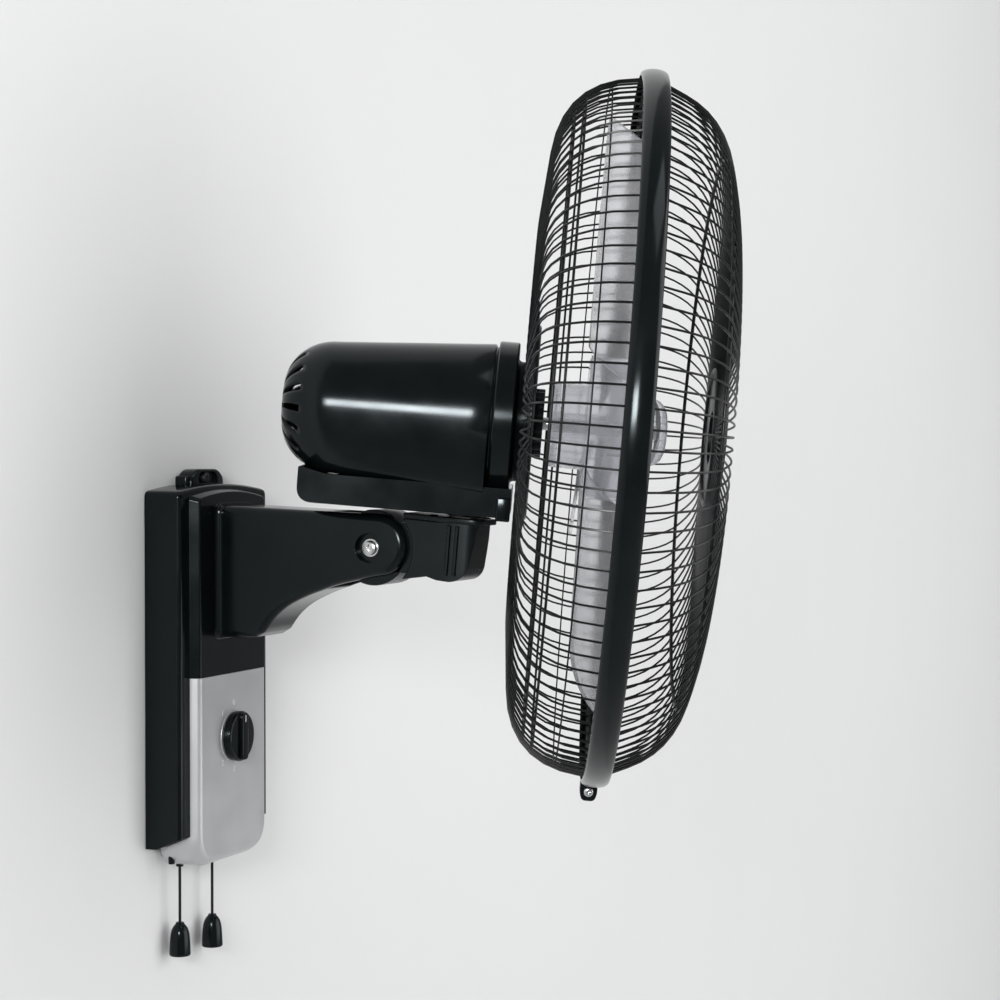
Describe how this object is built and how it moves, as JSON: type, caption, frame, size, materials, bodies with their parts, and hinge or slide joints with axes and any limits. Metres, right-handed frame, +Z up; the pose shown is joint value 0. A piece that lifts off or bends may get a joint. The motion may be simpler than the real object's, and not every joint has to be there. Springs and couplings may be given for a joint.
{
  "type": "wall mounted fan",
  "caption": "Wall fan: base box with control panel and pull cords, moulded arm, tilting neck, swinging motor head, caged clear blades.",
  "frame": {"origin": "on the wall plane at the middle of the base box", "axes": "+Z up, -Y out of the wall into the room, +X to the right when facing the wall"},
  "size_m": [0.4233, 0.4132, 0.5747],
  "materials": {
    "black_plastic": "glossy black moulded plastic",
    "black_paint": "gloss black coated steel wire and sheet",
    "silver_plastic": "silver metallic painted plastic, satin",
    "clear_plastic": "clear plastic with a faint lilac tint",
    "screw_steel": "bright zinc plated steel",
    "zinc_steel": "zinc plated sheet steel",
    "bronze": "sintered bronze",
    "lamination": "stacked electrical steel",
    "copper_winding": "varnished copper wire",
    "inner_plastic": "plain off-white moulding",
    "cord": "black braided cord"
  },
  "bodies": {
    "base": {"wall_bracket": "zinc_steel", "back_plate": "zinc_steel", "back_plate_screws": "screw_steel", "rear_housing": "black_plastic", "lock_screw": "screw_steel", "front_cover": "black_plastic", "control_panel": "silver_plastic", "cord_eyelets": "black_plastic", "cable_gland": "black_plastic", "support_arm": "black_plastic", "arm_plate": "zinc_steel", "arm_screws": "screw_steel", "tilt_bolt": "screw_steel", "tilt_nut": "screw_steel", "rotary_switch": "inner_plastic", "terminal_block": "inner_plastic", "run_capacitor": "inner_plastic", "swing_switch": "inner_plastic", "power_switch": "inner_plastic", "tilt_washers": "screw_steel"},
    "neck": {"neck": "black_plastic", "neck_plate": "black_paint", "neck_plate_screws": "screw_steel", "swing_post": "screw_steel", "post_lever": "zinc_steel", "post_clip": "screw_steel"},
    "head": {"motor_shell": "black_plastic", "gear_case": "black_plastic", "swing_bush": "bronze", "thrust_washer": "inner_plastic", "front_flange": "black_plastic", "stator": "lamination", "stator_coils": "copper_winding", "stator_clamps": "zinc_steel", "rear_bearing": "bronze", "front_bearing": "bronze", "swing_motor": "inner_plastic", "rear_guard": "black_paint", "front_guard": "black_paint", "guard_nut": "black_plastic", "clamp_band": "black_plastic", "band_screw": "screw_steel", "badge": "black_plastic"},
    "crank": {"swing_crank": "zinc_steel"},
    "link": {"swing_link": "zinc_steel"},
    "rotor": {"motor_shaft": "screw_steel", "rotor_core": "lamination", "fan_blades": "clear_plastic", "spinner": "clear_plastic"},
    "knob": {"selector_knob": "black_plastic"},
    "swing_pull": {"swing_pull_stem": "black_plastic", "swing_pull_cord": "cord", "swing_pull_bell": "black_plastic"},
    "power_pull": {"power_pull_stem": "black_plastic", "power_pull_cord": "cord", "power_pull_bell": "black_plastic"}
  },
  "joints": [
    {"name": "tilt", "type": "hinge", "parent": "base", "child": "neck", "pos_m": [0, -0.1442, 0.0809], "axis": [1, 0, 0], "range_deg": [-6, 20]},
    {"name": "swing", "type": "hinge", "parent": "neck", "child": "head", "pos_m": [0, -0.20391, 0.10405], "axis": [0, -0.0894, 0.996], "range_deg": [-66.9, 23.1]},
    {"name": "crank_turn", "type": "hinge", "parent": "head", "child": "crank", "pos_m": [-0.04394, -0.13831, 0.11597], "axis": [0, -0.0894, 0.996], "range_deg": [-134.3, 46.7]},
    {"name": "link_turn", "type": "hinge", "parent": "crank", "child": "link", "pos_m": [-0.03928, -0.12786, 0.1149], "axis": [0, -0.0894, 0.996], "range_deg": [-46.7, 134.3]},
    {"name": "blade_spin", "type": "hinge", "parent": "head", "child": "rotor", "pos_m": [0.02238, -0.26472, 0.15884], "axis": [0.373, -0.9241, -0.083], "continuous": true},
    {"name": "knob_turn", "type": "hinge", "parent": "base", "child": "knob", "pos_m": [0, -0.033, -0.0475], "axis": [0, 1, 0], "range_deg": [0, 135]},
    {"name": "swing_pull_slide", "type": "slide", "parent": "base", "child": "swing_pull", "axis": [0, 0, -1], "range_m": [0, 0.01], "stiffness_N_per_m": 250},
    {"name": "power_pull_slide", "type": "slide", "parent": "base", "child": "power_pull", "axis": [0, 0, -1], "range_m": [0, 0.01], "stiffness_N_per_m": 250}
  ],
  "couplings": [
    {"joint": "crank_turn", "follows": "swing", "ratio": 2},
    {"joint": "link_turn", "follows": "swing", "ratio": -2}
  ]
}
